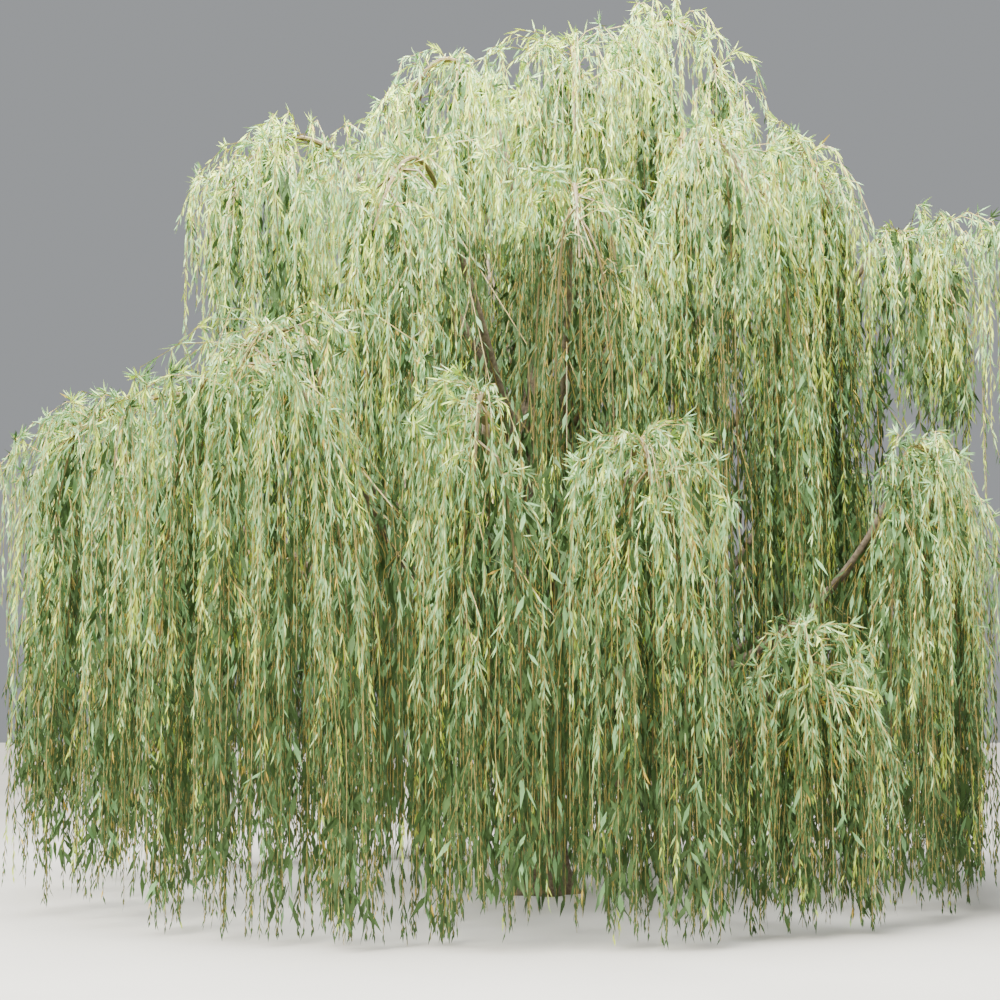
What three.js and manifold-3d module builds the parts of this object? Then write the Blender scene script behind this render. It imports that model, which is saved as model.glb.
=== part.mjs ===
// A weeping willow, 7.7 m tall and 8.3 m wide, in full leaf.
// Millimetres, +Z up. The origin is the middle of the trunk's flat cut at ground level,
// and -Y is the side that is seen first. Azimuths are in degrees, 0 along +X, 90 along +Y.
//
// A short trunk forks into three rising limbs. Boughs leave the trunk and the limbs, and each one
// carries one mass of foliage: an arching stem, the locks of shoots that fall from it, and blades
// that stand for sprays of leaves. Three tiers of masses hang one outside the other, like bells.

import * as THREE from "three";
import { mergeVertices } from "three/addons/utils/BufferGeometryUtils.js";
import Module from "manifold-3d";

const wasm = await Module();
wasm.setup();

const CORNER_SPACING = 0.02; // least distance between two corners of one solid
const SCRAP = 0.01; // a part smaller than this share of what is fused is a loose scrap
const GAP = 0.3; // clear distance between two pieces that meet
const GAP_CUT = 0.35; // how much larger a limb is where it is cut from its neighbour

// The trunk
const TRUNK_HEIGHT = 2100;
const TRUNK_RADIUS = 185;
const TRUNK_SWELL = 0.12; // how much wider the trunk is under the fork
const TRUNK_HEAD = [70, -45]; // where the leaning trunk's head is, seen from above
const TRUNK_SIDES = 15;
const TRUNK_RINGS = [0, 0.04, 0.1, 0.22, 0.45, 0.86, 0.95, 1]; // shares of its height
const FLARE = 135; // how far the root flare stands out at the ground
const FLARE_HEIGHT = 250; // height over which the flare dies away to a third
const FLARE_LOBES = 5;
const FLARE_LOBE_DEPTH = 0.34;
const FLARE_LOBE_TURN = 0.6; // radians
const HEAD_FROM = 0.86; // share of the height where the trunk's head starts to round in
const HEAD_CLOSE = 0.55;

// The fork: where a limb starts inside the trunk's head, and the two handles that bend it.
const FORK_OFFSET = 95;
const FORK_DEPTH = 330;
const FORK_REACH = 300;
const FORK_RISE = 500;
const LIMB_EASE = 1900; // length over which a limb takes its stem's direction

// Limbs and boughs
const LIMB_RADIUS = 112;
const LIMB_TIP_RADIUS = 34;
const LIMB_SIDES = 7;
const LIMB_PIECES = 7;
const BOUGH_RADIUS = 56;
const BOUGH_TIP_RADIUS = 27;
const BOUGH_SIDES = 5;
const BOUGH_PIECES = 4;
const BOUGH_EASE = 0.5; // share of a bough's span over which it takes its stem's direction
const STEM_TIP_RADIUS = 9;
const STEM_SIDES = 5;
const STEM_PIECES = 5;
const STEM_INSET = 1; // how much thinner a stem's foot is than the bough's tip

// The three tiers: the centre and the radii of the ring that each one keeps to, how far into that
// ring a stem's foot lies, how far the stem rises to its crest, and how far its end droops from it.
const CROWN = { centre: [260, -60], inner: 0, outer: 1650, foot: 400, rise: 620, droop: 900 };
const SHOULDER = { centre: [140, -40], inner: 1820, outer: 3050, foot: 30, rise: 250, droop: 700 };
const SKIRT = { centre: [-100, -60], inner: 3340, outer: 4250, foot: 30, rise: 170, droop: 600 };

// Where the locks fall within a mass
const LOCK_CLEARANCE = 225; // from a lock's fall line to the edge of its mass's space
const LOCK_STAGGER = 0.4; // how far a lock may stand from its even place, as a share of a place
const SECTOR_FILL = 1.25; // more than 1 pushes the locks out to the sector's two edges
const OUTWARD = 0.6; // less than 1 hangs more of the locks near the outer edge
const GOLDEN = 0.618034;
const RAGGED = 360; // how much the lower ends of the locks differ

// How a lock leaves its stem
const LEAVES_BEFORE = 0.3; // share of the stem between a lock's root and the place it falls from
const LEAVES_FIRST = 0.06;
const LEAVES_LAST = 0.85;
const LEAVES_STAGGER = 0.08;
const LOCK_ARCH = 0.42; // share of the way to the fall line where the first handle stands
const LOCK_LIFT = 0.09; // how far a lock's handles stand above its crest, as a share of its fall
const LOCK_SHOULDER = 0.12; // how much lower a lock's crest is per millimetre beside the stem

// A lock's thickness
const LOCK_RADIUS = 205;
const LOCK_ROOT_RADIUS = 9;
const LOCK_SIDES = 4;
const LOCK_RINGS = [0, 0.1, 0.28, 0.8, 1]; // shares of its curve
const LOCK_FULL = 0.28; // share of its curve where it has swelled to its full radius
const LOCK_SWELL = 0.7;
const LOCK_CLOSES = 0.5; // share of its curve where it starts to close to its point
const LOCK_CLOSE_POWER = 4;

// The tests that place a lock or a blade
const LOCK_TRIES = 26;
const LOCK_RETREAT = 60; // how much higher a lock ends with each failed attempt
const ROOT_SHARE = 0.2; // share of a lock near the stem that may lie outside its mass's ring
const BELOW_HEM = 0.2; // share of RAGGED that foliage may hang below the hem
const SPACE_MARGIN = 12;
const LIMB_MARGIN = 15; // between a blade or lock and any limb
const LIMB_TEST_STEP = 40;
const FOLIAGE_TEST_STEP = 60;

// Blades
const BLADE_LENGTH = 640;
const BLADE_LENGTHS = [0.75, 0.45]; // the shortest, and how much longer the longest is
const BLADE_WIDTH = 190;
const BLADE_THICKNESS = 28;
const BLADE_WIDEST = 0.38; // share of its length
const BLADE_PLACES = [0.45]; // where they leave, as shares of the lock's curve
const BLADE_STAGGER = 0.1;
const BLADE_SPREAD = 26; // degrees between a blade and its lock
const BLADE_SPREADS = [0.75, 0.5];
const BLADE_TRIES = 8;
const BLADE_TURN = 0.381966; // share of a turn between one attempt and the next

const BARK = { color: 0x6a5b48, roughness: 0.95, metalness: 0 };
const LEAVES = { color: 0x8fa468, roughness: 0.7, metalness: 0 };

// The limbs that rise from the fork, by the mass that each one ends in.
const LIMBS = { leader: "peak", left_limb: "top_left", back_limb: "top_back_right" };

// One mass of foliage: its name and tier, the two azimuths of its sector, the heights of its crest
// and its hem, and its number of locks. bough says which limb carries it and at what height its
// bough leaves that limb. own holds a radius or foot that differs from the tier's.
function mass(name, tier, [from, to], [crest, hem], locks, bough = {}, own = {}) {
  const sector = { middle: (from + to) / 2, half: (to - from) / 2 };
  return { name, ...tier, ...sector, crest, hem, locks, ...bough, ...own };
}

const on = (limb, height) => ({ limb, height });
const DEEP = { inner: 2300, outer: 4480 }; // the one mass of the skirt that also fills the ring inside it

const MASSES = [
  mass("peak", CROWN, [-46, 26], [7600, 4200], 5, {}, { outer: 1750 }),
  mass("top_back_right", CROWN, [26, 92], [7150, 4300], 5),
  mass("top_back_left", CROWN, [92, 156], [7200, 4300], 4, on("left_limb", 4300)),
  mass("top_left", CROWN, [156, 226], [7260, 4450], 5, {}, { outer: 1840, foot: 650 }),
  mass("top_front", CROWN, [226, 314], [7130, 4100], 5, on("leader", 4500)),

  mass("right_shoulder", SHOULDER, [-44, -5], [6350, 2200], 5, on("leader", 3500), { outer: 2740 }),
  mass("right_back_shoulder", SHOULDER, [-5, 42], [6150, 2600], 4, on("back_limb", 3300), { outer: 2740 }),
  mass("back_shoulder", SHOULDER, [42, 88], [5850, 2700], 5, on("back_limb", 3750)),
  mass("back_left_shoulder", SHOULDER, [88, 132], [6150, 2600], 5, on("back_limb", 2950)),
  mass("left_back_shoulder", SHOULDER, [132, 178], [5900, 2900], 5, on("left_limb", 3300)),
  mass("left_shoulder", SHOULDER, [178, 220], [6400, 4500], 5, on("left_limb", 3750), { outer: 3280 }),
  mass("front_left_shoulder", SHOULDER, [220, 258], [5900, 2700], 5, on("left_limb", 2950)),
  mass("front_shoulder", SHOULDER, [258, 286], [5600, 2500], 5, on("leader", 3050)),
  mass("front_right_curtain", SHOULDER, [286, 316], [6050, 700], 4, on("leader", 3900)),

  mass("right_arch", SKIRT, [-28, 20], [5680, 4000], 6, on("leader", 2650), { inner: 2980, outer: 3980 }),

  mass("right_back_skirt", SKIRT, [-13, 22], [3750, 200], 5, on("trunk", 1800), { outer: 3960 }),
  mass("back_right_skirt", SKIRT, [22, 58], [4050, 200], 5, on("trunk", 1450)),
  mass("back_skirt", SKIRT, [58, 94], [4250, 180], 5, on("trunk", 1850)),
  mass("back_left_skirt", SKIRT, [94, 130], [4150, 200], 5, on("trunk", 1500)),
  mass("left_back_skirt", SKIRT, [130, 165], [3950, 300], 5, on("trunk", 1800), { outer: 4400 }),
  mass("left_skirt", SKIRT, [165, 192], [4150, 600], 5, on("trunk", 1500), { outer: 4500 }),
  mass("left_front_skirt", SKIRT, [192, 222], [4100, 330], 7, on("trunk", 1850), DEEP),
  mass("front_left_skirt", SKIRT, [222, 256], [4280, 120], 7, on("trunk", 1450), { outer: 4400 }),
  mass("front_skirt", SKIRT, [256, 272], [3760, 110], 4, on("trunk", 1800)),
  mass("front_right_skirt", SKIRT, [272, 291], [3450, 110], 5, on("trunk", 1500)),
  mass("low_right_skirt", SKIRT, [291, 313], [2180, 120], 5, on("trunk", 1250), { outer: 4000 }),
  mass("right_skirt", SKIRT, [313, 347], [3650, 160], 6, on("trunk", 1500), { outer: 3980 }),
];

const UP = new THREE.Vector3(0, 0, 1);
const TAU = Math.PI * 2;

// A repeatable number from 0 to 1: the draw-th one of piece number piece.
function chance(piece, draw) {
  const s = Math.sin(piece * 127.1 + draw * 311.7) * 43758.5453;
  return s - Math.floor(s);
}

// The point at an azimuth in degrees, a radius and a height, about a centre.
function polar(centre, azimuth, radius, height) {
  const a = THREE.MathUtils.degToRad(azimuth);
  return new THREE.Vector3(centre[0] + radius * Math.cos(a), centre[1] + radius * Math.sin(a), height);
}

function solidOf(geometry) {
  const bare = geometry.clone();
  bare.deleteAttribute("normal");
  bare.deleteAttribute("uv");
  const merged = mergeVertices(bare, 1e-3);
  return new wasm.Manifold(new wasm.Mesh({
    numProp: 3,
    vertProperties: merged.attributes.position.array,
    triVerts: new Uint32Array(merged.index.array),
  }));
}

function geometryOf(solid) {
  const mesh = solid.getMesh();
  return new THREE.BufferGeometry()
    .setAttribute("position", new THREE.BufferAttribute(mesh.vertProperties, 3))
    .setIndex(new THREE.BufferAttribute(mesh.triVerts, 1));
}

// The separate bodies of a solid, the largest first. A sealed hollow counts as a body of its own,
// so a solid that keeps only its largest one has its hollows filled and its scraps dropped.
function bodiesOf(solid) {
  return solid.decompose().sort((a, b) => b.volume() - a.volume());
}

// A body with a piece fused on, or null where the two stay apart, or meet so finely that corners
// would coincide.
function fuse(body, piece) {
  const [joined, rest] = bodiesOf(body.add(piece));
  if (rest && rest.volume() > SCRAP * Math.min(body.volume(), piece.volume())) return null;
  const corners = geometryOf(joined);
  const distinct = mergeVertices(corners, CORNER_SPACING).attributes.position.count;
  return distinct === corners.attributes.position.count ? joined : null;
}

// A cylinder carried onto a curve that lies in an upright plane, or nearly. Its rings are at the
// given shares of the curve. radiusAt takes such a share and the angle round the curve. grow makes
// it that much larger all round and at both ends.
function limbGeometry(curve, radiusAt, sides, shares, { pointed = false, grow = 0 } = {}) {
  const rings = shares.length - 1;
  const form = new THREE.CylinderGeometry(pointed ? 0 : 1, 1, 1, sides, rings);
  const across = curve.getPoint(1).sub(curve.getPoint(0)).setZ(0).normalize().cross(UP);
  const at = form.attributes.position;
  for (let i = 0; i < at.count; i += 1) {
    const height = at.getY(i) + 0.5;
    const share = shares[Math.round(height * rings)];
    const cone = pointed ? Math.max(1 - height, 1e-6) : 1;
    const radius = radiusAt(share, Math.atan2(at.getZ(i), at.getX(i))) + grow;
    const along = curve.getTangentAt(share);
    const out = across.clone().cross(along).normalize();
    const side = along.clone().cross(out);
    const place = curve.getPointAt(share)
      .addScaledVector(along, grow * ((share === 1) - (share === 0)))
      .addScaledVector(side, (at.getX(i) / cone) * radius)
      .addScaledVector(out, (at.getZ(i) / cone) * radius);
    at.setXYZ(i, place.x, place.y, place.z);
  }
  return form;
}

const evenly = (rings) => Array.from({ length: rings + 1 }, (_, ring) => ring / rings);
const taper = (base, tip) => (along) => THREE.MathUtils.lerp(base, tip, along);

// The arch of a mass's stem: a parabola over the middle of its sector, with its highest point at
// the crest. Its value at share 0 is the foot, and at share 1 the drooping end.
function arch({ inner, outer, foot, rise, droop, crest }) {
  const up = Math.sqrt(rise);
  const down = Math.sqrt(droop);
  const footRadius = inner + foot;
  const endRadius = outer - LOCK_CLEARANCE;
  return {
    radius: (share) => THREE.MathUtils.lerp(footRadius, endRadius, share),
    height: (share) => crest - ((up + down) * share - up) ** 2,
    shareAt: (radius) => (radius - footRadius) / (endRadius - footRadius),
  };
}

class StemCurve extends THREE.Curve {
  constructor(ofMass) {
    super();
    this.centre = ofMass.centre;
    this.azimuth = ofMass.middle;
    this.arch = arch(ofMass);
  }

  getPoint(share, target = new THREE.Vector3()) {
    const { centre, azimuth, arch: form } = this;
    return target.copy(polar(centre, azimuth, form.radius(share), form.height(share)));
  }

  // A place for a lock's root: a share of the stem's length, on the straight run between two rings.
  getRoot(share) {
    const ring = Math.min(STEM_PIECES - 1, Math.floor(share * STEM_PIECES));
    const next = this.getPointAt((ring + 1) / STEM_PIECES);
    return this.getPointAt(ring / STEM_PIECES).lerp(next, share * STEM_PIECES - ring);
  }
}

// The bough that runs from a point inside its parent to a stem's foot, and ends in the stem's
// own direction, GAP short of it.
function boughCurve(start, stem) {
  const direction = stem.getTangent(0);
  const end = stem.getPoint(0).addScaledVector(direction, -GAP);
  const reach = start.distanceTo(end) * BOUGH_EASE;
  return new THREE.QuadraticBezierCurve3(start, end.clone().addScaledVector(direction, -reach), end);
}

// Where lock i of a mass falls. The locks stand side by side across the sector, and their radii
// follow the golden ratio, which each attempt to place a lock moves on by one round.
function fallLine(ofMass, number, i, attempt) {
  const { inner, outer, half, locks } = ofMass;
  const across = (i + 0.5 + LOCK_STAGGER * (chance(number, i + 40) - 0.5)) / locks;
  const out = (0.5 + (i + 1 + attempt * locks) * GOLDEN) % 1;
  const radius = THREE.MathUtils.lerp(inner + LOCK_CLEARANCE, outer - LOCK_CLEARANCE, out ** OUTWARD);
  const edge = THREE.MathUtils.radToDeg(Math.asin(Math.min(1, LOCK_CLEARANCE / radius)));
  const side = THREE.MathUtils.clamp(SECTOR_FILL * (2 * across - 1), -1, 1);
  return { radius, offset: Math.max(0, half - edge) * side };
}

// A lock leaves the stem, arches over to its fall line and hangs down to the hem.
function lockCurve(ofMass, number, i, attempt, stem) {
  const { radius, offset } = fallLine(ofMass, number, i, attempt);
  const azimuth = ofMass.middle + offset;
  const topShare = THREE.MathUtils.clamp(stem.arch.shareAt(radius), 0, 1);
  const sideways = radius * Math.abs(THREE.MathUtils.degToRad(offset));
  const top = stem.arch.height(topShare) - LOCK_SHOULDER * sideways;
  const hem = ofMass.hem + RAGGED * chance(number, i) + LOCK_RETREAT * attempt;
  const lift = top + LOCK_LIFT * (top - hem);
  const before = THREE.MathUtils.clamp(topShare - LEAVES_BEFORE, LEAVES_FIRST, LEAVES_LAST);
  const start = stem.getRoot(before + LEAVES_STAGGER * chance(number, i + 20));
  const over = polar(ofMass.centre, azimuth, radius, lift);
  const first = start.clone().lerp(over, LOCK_ARCH).setZ(lift);
  const end = polar(ofMass.centre, azimuth, radius, hem);
  return new THREE.CubicBezierCurve3(start, first, over, end);
}

// Thin as a twig where it leaves the stem, full for most of its length, pointed at the hem.
function lockRadius(along) {
  const swell = Math.sin((Math.PI / 2) * Math.min(1, along / LOCK_FULL)) ** LOCK_SWELL;
  const closing = Math.max(0, (along - LOCK_CLOSES) / (1 - LOCK_CLOSES));
  const close = 1 - closing ** LOCK_CLOSE_POWER;
  return LOCK_ROOT_RADIUS + (LOCK_RADIUS - LOCK_ROOT_RADIUS) * swell * close;
}

// A blade for a spray of leaves: a slim eight-faced lance from its root to its point.
function bladeGeometry(root, direction, turn, length) {
  const blade = new THREE.OctahedronGeometry(1);
  blade.scale(BLADE_WIDTH / 2, BLADE_THICKNESS / 2, length / 2);
  const at = blade.attributes.position;
  for (let i = 0; i < at.count; i += 1) {
    if (Math.abs(at.getZ(i)) < 1) at.setZ(i, (BLADE_WIDEST - 0.5) * length);
  }
  blade.translate(0, 0, length / 2);
  blade.rotateZ(turn);
  blade.applyQuaternion(new THREE.Quaternion().setFromUnitVectors(UP, direction));
  return blade.translate(root.x, root.y, root.z);
}

// A string of balls along a curve, for the tests that keep foliage in its space and off the limbs.
function ballsAlong(curve, radiusAt, spacing) {
  const steps = Math.ceil(curve.getLength() / spacing);
  const balls = [];
  for (let i = 0; i <= steps; i += 1) {
    balls.push({ centre: curve.getPointAt(i / steps), radius: radiusAt(i / steps, 0) });
  }
  return balls;
}

function insideSpace(ofMass, { centre, radius }) {
  const x = centre.x - ofMass.centre[0];
  const y = centre.y - ofMass.centre[1];
  const out = Math.hypot(x, y);
  const azimuth = THREE.MathUtils.radToDeg(Math.atan2(y, x));
  const off = THREE.MathUtils.euclideanModulo(azimuth - ofMass.middle + 180, 360) - 180;
  const toEdge = THREE.MathUtils.degToRad(ofMass.half - Math.abs(off));
  const room = radius + SPACE_MARGIN;
  return out * Math.sin(toEdge) > room
    && (ofMass.inner === 0 || out > ofMass.inner + room)
    && out < ofMass.outer - room
    && centre.z > ofMass.hem - BELOW_HEM * RAGGED;
}

const limbBalls = [];

function clearOfLimbs(balls) {
  return balls.every((ball) => limbBalls.every((limb) =>
    ball.centre.distanceTo(limb.centre) > ball.radius + limb.radius + LIMB_MARGIN));
}

// The tree under construction. Each limb and bough is placed by its start, and each mass by the
// foot of its stem.
const tree = new THREE.Group();
const wood = new THREE.Group();
const foliage = new THREE.Group();
tree.add(wood, foliage);
const grownLimbs = []; // every limb so far, larger by the gap

function addNode(group, name, solid, look, pivot) {
  const geometry = geometryOf(solid).translate(-pivot.x, -pivot.y, -pivot.z);
  const mesh = new THREE.Mesh(geometry, new THREE.MeshStandardMaterial(look));
  mesh.name = name;
  mesh.position.copy(pivot);
  group.add(mesh);
}

function addLimb(name, curve, radiusAt, sides, shares) {
  const shape = (grow) => solidOf(limbGeometry(curve, radiusAt, sides, shares, { grow }));
  const cut = grownLimbs.reduce((solid, other) => solid.subtract(other), shape(0));
  addNode(wood, name, bodiesOf(cut)[0], BARK, curve.getPoint(0));
  grownLimbs.push(shape(GAP_CUT));
  limbBalls.push(...ballsAlong(curve, radiusAt, LIMB_TEST_STEP));
}

function addTrunk() {
  const [x, y] = TRUNK_HEAD;
  const curve = new THREE.CubicBezierCurve3(
    new THREE.Vector3(0, 0, 0),
    new THREE.Vector3(0, 0, TRUNK_HEIGHT * 0.4),
    new THREE.Vector3(x * 0.4, y * 0.3, TRUNK_HEIGHT * 0.7),
    new THREE.Vector3(x, y, TRUNK_HEIGHT),
  );
  const radiusAt = (along, angle) => {
    const flare = Math.exp((-along * TRUNK_HEIGHT) / FLARE_HEIGHT);
    const lobes = 1 + FLARE_LOBE_DEPTH * Math.cos(FLARE_LOBES * angle + FLARE_LOBE_TURN);
    const head = 1 - HEAD_CLOSE * Math.max(0, (along - HEAD_FROM) / (1 - HEAD_FROM)) ** 2;
    return (TRUNK_RADIUS * (1 + TRUNK_SWELL * along) + FLARE * flare * lobes) * head;
  };
  addLimb("trunk", curve, radiusAt, TRUNK_SIDES, TRUNK_RINGS);
  return curve;
}

// A limb from inside the trunk's head to the foot of the stem that it ends in.
function limbCurve(ofMass) {
  const stem = new StemCurve(ofMass);
  const foot = stem.getPoint(0);
  const direction = stem.getTangent(0);
  return new THREE.CubicBezierCurve3(
    polar(TRUNK_HEAD, ofMass.middle, FORK_OFFSET, TRUNK_HEIGHT - FORK_DEPTH),
    polar(TRUNK_HEAD, ofMass.middle, FORK_REACH, TRUNK_HEIGHT + FORK_RISE),
    foot.clone().addScaledVector(direction, -LIMB_EASE),
    foot.clone().addScaledVector(direction, -GAP),
  );
}

function addWood() {
  const curves = { trunk: addTrunk() };
  for (const [name, ends] of Object.entries(LIMBS)) {
    curves[name] = limbCurve(MASSES.find((each) => each.name === ends));
    addLimb(name, curves[name], taper(LIMB_RADIUS, LIMB_TIP_RADIUS), LIMB_SIDES, evenly(LIMB_PIECES));
  }
  for (const each of MASSES.filter(({ limb }) => limb)) {
    const start = pointAtHeight(curves[each.limb], each.height);
    const curve = boughCurve(start, new StemCurve(each));
    const radiusAt = taper(BOUGH_RADIUS, BOUGH_TIP_RADIUS);
    addLimb(`bough_${each.name}`, curve, radiusAt, BOUGH_SIDES, evenly(BOUGH_PIECES));
  }
}

function pointAtHeight(curve, height) {
  let low = 0;
  let high = 1;
  for (let step = 0; step < 24; step += 1) {
    const half = (low + high) / 2;
    if (curve.getPoint(half).z < height) low = half;
    else high = half;
  }
  return curve.getPoint(low);
}

// A mass with one more lock on it: the first attempt that stays in its space, keeps clear of every
// limb and fuses soundly, with its blades. Where no attempt fits, the mass stays as it was.
function withLock(body, ofMass, number, i, stem) {
  for (let attempt = 0; attempt < LOCK_TRIES; attempt += 1) {
    const curve = lockCurve(ofMass, number, i, attempt, stem);
    const balls = ballsAlong(curve, lockRadius, FOLIAGE_TEST_STEP);
    const hanging = balls.slice(Math.ceil(balls.length * ROOT_SHARE));
    if (!clearOfLimbs(balls) || !hanging.every((ball) => insideSpace(ofMass, ball))) continue;
    const lock = limbGeometry(curve, lockRadius, LOCK_SIDES, LOCK_RINGS, { pointed: true });
    const grown = fuse(body, solidOf(lock));
    if (grown) return withBlades(grown, ofMass, curve, number * 100 + i * 10);
  }
  return body;
}

function withBlades(body, ofMass, curve, piece) {
  return BLADE_PLACES.reduce((solid, share, k) => withBlade(solid, ofMass, curve, share, piece + k), body);
}

// A body with one more blade on it, which leaves a lock and points down and outward from it, or
// the body as it was where there is no room for one.
function withBlade(body, ofMass, curve, share, piece) {
  const root = curve.getPoint(share + BLADE_STAGGER * chance(piece, 0));
  const between = ([least, more], draw) => least + more * chance(piece, draw);
  const length = BLADE_LENGTH * between(BLADE_LENGTHS, 3);
  const spread = THREE.MathUtils.degToRad(BLADE_SPREAD * between(BLADE_SPREADS, 2));
  for (let attempt = 0; attempt < BLADE_TRIES; attempt += 1) {
    const turn = TAU * (chance(piece, 1) + attempt * BLADE_TURN);
    const direction = curve.getTangent(share);
    const axis = new THREE.Vector3(Math.cos(turn), Math.sin(turn), 0).cross(direction).normalize();
    direction.applyAxisAngle(axis, spread);
    const line = new THREE.LineCurve3(root, root.clone().addScaledVector(direction, length));
    const balls = ballsAlong(line, taper(BLADE_WIDTH / 2, 0), FOLIAGE_TEST_STEP);
    if (!balls.every((ball) => insideSpace(ofMass, ball)) || !clearOfLimbs(balls)) continue;
    const grown = fuse(body, solidOf(bladeGeometry(root, direction, turn, length)));
    if (grown) return grown;
  }
  return body;
}

function addMass(ofMass, number) {
  const stem = new StemCurve(ofMass);
  const base = (ofMass.limb ? BOUGH_TIP_RADIUS : LIMB_TIP_RADIUS) - STEM_INSET;
  let body = solidOf(limbGeometry(stem, taper(base, STEM_TIP_RADIUS), STEM_SIDES, evenly(STEM_PIECES)));
  for (let i = 0; i < ofMass.locks; i += 1) body = withLock(body, ofMass, number, i, stem);
  addNode(foliage, `foliage_${ofMass.name}`, body, LEAVES, stem.getPoint(0));
}

addWood();
MASSES.forEach(addMass);

export default tree;
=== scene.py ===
# %% [markdown]
# # A weeping willow, grown by rule
# The real tree is about 7.7 m tall. A short trunk, which the foliage hides, forks into rising limbs.
# Boughs arch up and out from them, and from each arch hangs a curtain of golden shoots, two to four
# metres long, with narrow grey-green leaves that hang along them like feathers.
#
# A tree like this could be sculpted, or scattered from a few stock branches. Here every shoot is
# grown from the same named sizes that shape the CAD solids: the same stems, the same locks of
# foliage, and then finer and finer twigs inside the same reach. So the fine tree and the plain
# solids agree, as long as a size that changes in one is changed in the other too.

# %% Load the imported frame
import math
from types import SimpleNamespace

import bpy
import numpy as np
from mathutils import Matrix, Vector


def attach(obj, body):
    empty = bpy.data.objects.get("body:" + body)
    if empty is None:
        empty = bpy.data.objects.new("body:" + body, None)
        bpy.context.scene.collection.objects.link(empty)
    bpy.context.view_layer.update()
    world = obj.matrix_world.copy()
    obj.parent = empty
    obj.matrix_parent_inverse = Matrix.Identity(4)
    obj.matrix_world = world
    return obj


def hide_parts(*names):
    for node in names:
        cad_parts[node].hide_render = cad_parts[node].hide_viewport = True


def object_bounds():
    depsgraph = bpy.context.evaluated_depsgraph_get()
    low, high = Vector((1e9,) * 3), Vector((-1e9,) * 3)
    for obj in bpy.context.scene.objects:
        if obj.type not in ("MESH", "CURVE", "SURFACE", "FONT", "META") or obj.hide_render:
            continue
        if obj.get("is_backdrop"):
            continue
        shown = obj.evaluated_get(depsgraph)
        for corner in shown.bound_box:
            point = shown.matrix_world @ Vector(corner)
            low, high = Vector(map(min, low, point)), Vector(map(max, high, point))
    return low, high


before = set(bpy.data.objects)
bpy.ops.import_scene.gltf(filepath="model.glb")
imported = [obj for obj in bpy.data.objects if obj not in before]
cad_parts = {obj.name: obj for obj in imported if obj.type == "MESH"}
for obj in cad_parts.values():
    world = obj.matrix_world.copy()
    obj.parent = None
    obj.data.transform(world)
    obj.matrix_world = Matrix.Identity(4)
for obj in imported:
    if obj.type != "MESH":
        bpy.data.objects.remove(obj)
cad_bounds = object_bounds()
print("CAD box", [[round(float(v), 3) for v in corner] for corner in cad_bounds])

# %% [markdown]
# ## The sizes that the tree is grown from
# All sizes are metres, and azimuths are degrees, 0 along +X and 90 along +Y. -Y is the side that is
# seen first. Three tiers of foliage hang one outside the other, like bells: a crown, the shoulders
# below it, and a skirt that reaches the ground. Each mass of foliage keeps to one sector of its
# tier's ring, so that neighbours don't tangle.

# %% Trunk, limbs and boughs
TRUNK_HEIGHT = 2.1
TRUNK_RADIUS = 0.185
TRUNK_SWELL = 0.12  # how much wider the trunk is under the fork
TRUNK_HEAD = (0.07, -0.045)  # where the leaning trunk's head is, seen from above
FLARE, FLARE_HEIGHT = 0.135, 0.25  # how far the root flare stands out, and how soon it dies away
FLARE_LOBES, FLARE_LOBE_DEPTH, FLARE_LOBE_TURN = 5, 0.34, 0.6
HEAD_FROM, HEAD_CLOSE = 0.86, 0.55  # where the trunk's head starts to round in, and how far
FORK_OFFSET, FORK_DEPTH, FORK_REACH, FORK_RISE = 0.095, 0.33, 0.3, 0.5  # where a limb sets out
LIMB_EASE = 1.9  # length over which a limb takes its stem's direction
LIMB_RADIUS, LIMB_TIP_RADIUS = 0.112, 0.034
BOUGH_RADIUS, BOUGH_TIP_RADIUS = 0.056, 0.027
BOUGH_EASE = 0.5  # share of a bough's span over which it does the same
STEM_TIP_RADIUS, STEM_PIECES = 0.009, 5
JOIN_GAP = 0.0003  # between the tip of a limb and the stem that goes on from it
LIMBS = {"leader": "peak", "left_limb": "top_left", "back_limb": "top_back_right"}
print(len(LIMBS), "limbs on a trunk of", TRUNK_HEIGHT, "m")

# %% Tiers and masses
# A tier's ring, how far into it a stem's foot lies, and how far the stem rises and then droops.
CROWN = dict(tier="crown", centre=(0.26, -0.06), inner=0.0, outer=1.65, foot=0.4, rise=0.62, droop=0.9)
SHOULDER = dict(tier="shoulder", centre=(0.14, -0.04), inner=1.82, outer=3.05,
                foot=0.03, rise=0.25, droop=0.7)
SKIRT = dict(tier="skirt", centre=(-0.1, -0.06), inner=3.34, outer=4.25, foot=0.03, rise=0.17, droop=0.6)


def on(limb, height, **own):
    """The limb that carries a mass, the height of its bough on it, and sizes of the mass's own."""
    return dict(limb=limb, height=height, **own)


def masses_of(tier, rows):
    """Masses from rows of name, two azimuths, heights of crest and hem, locks and what differs."""
    return [SimpleNamespace(**{**tier, "name": name, "limb": None, "crest": crest, "hem": hem,
                               "middle": (start + end) / 2, "half": (end - start) / 2,
                               "locks": locks, **own})
            for name, (start, end), (crest, hem), locks, own in rows]


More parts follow.
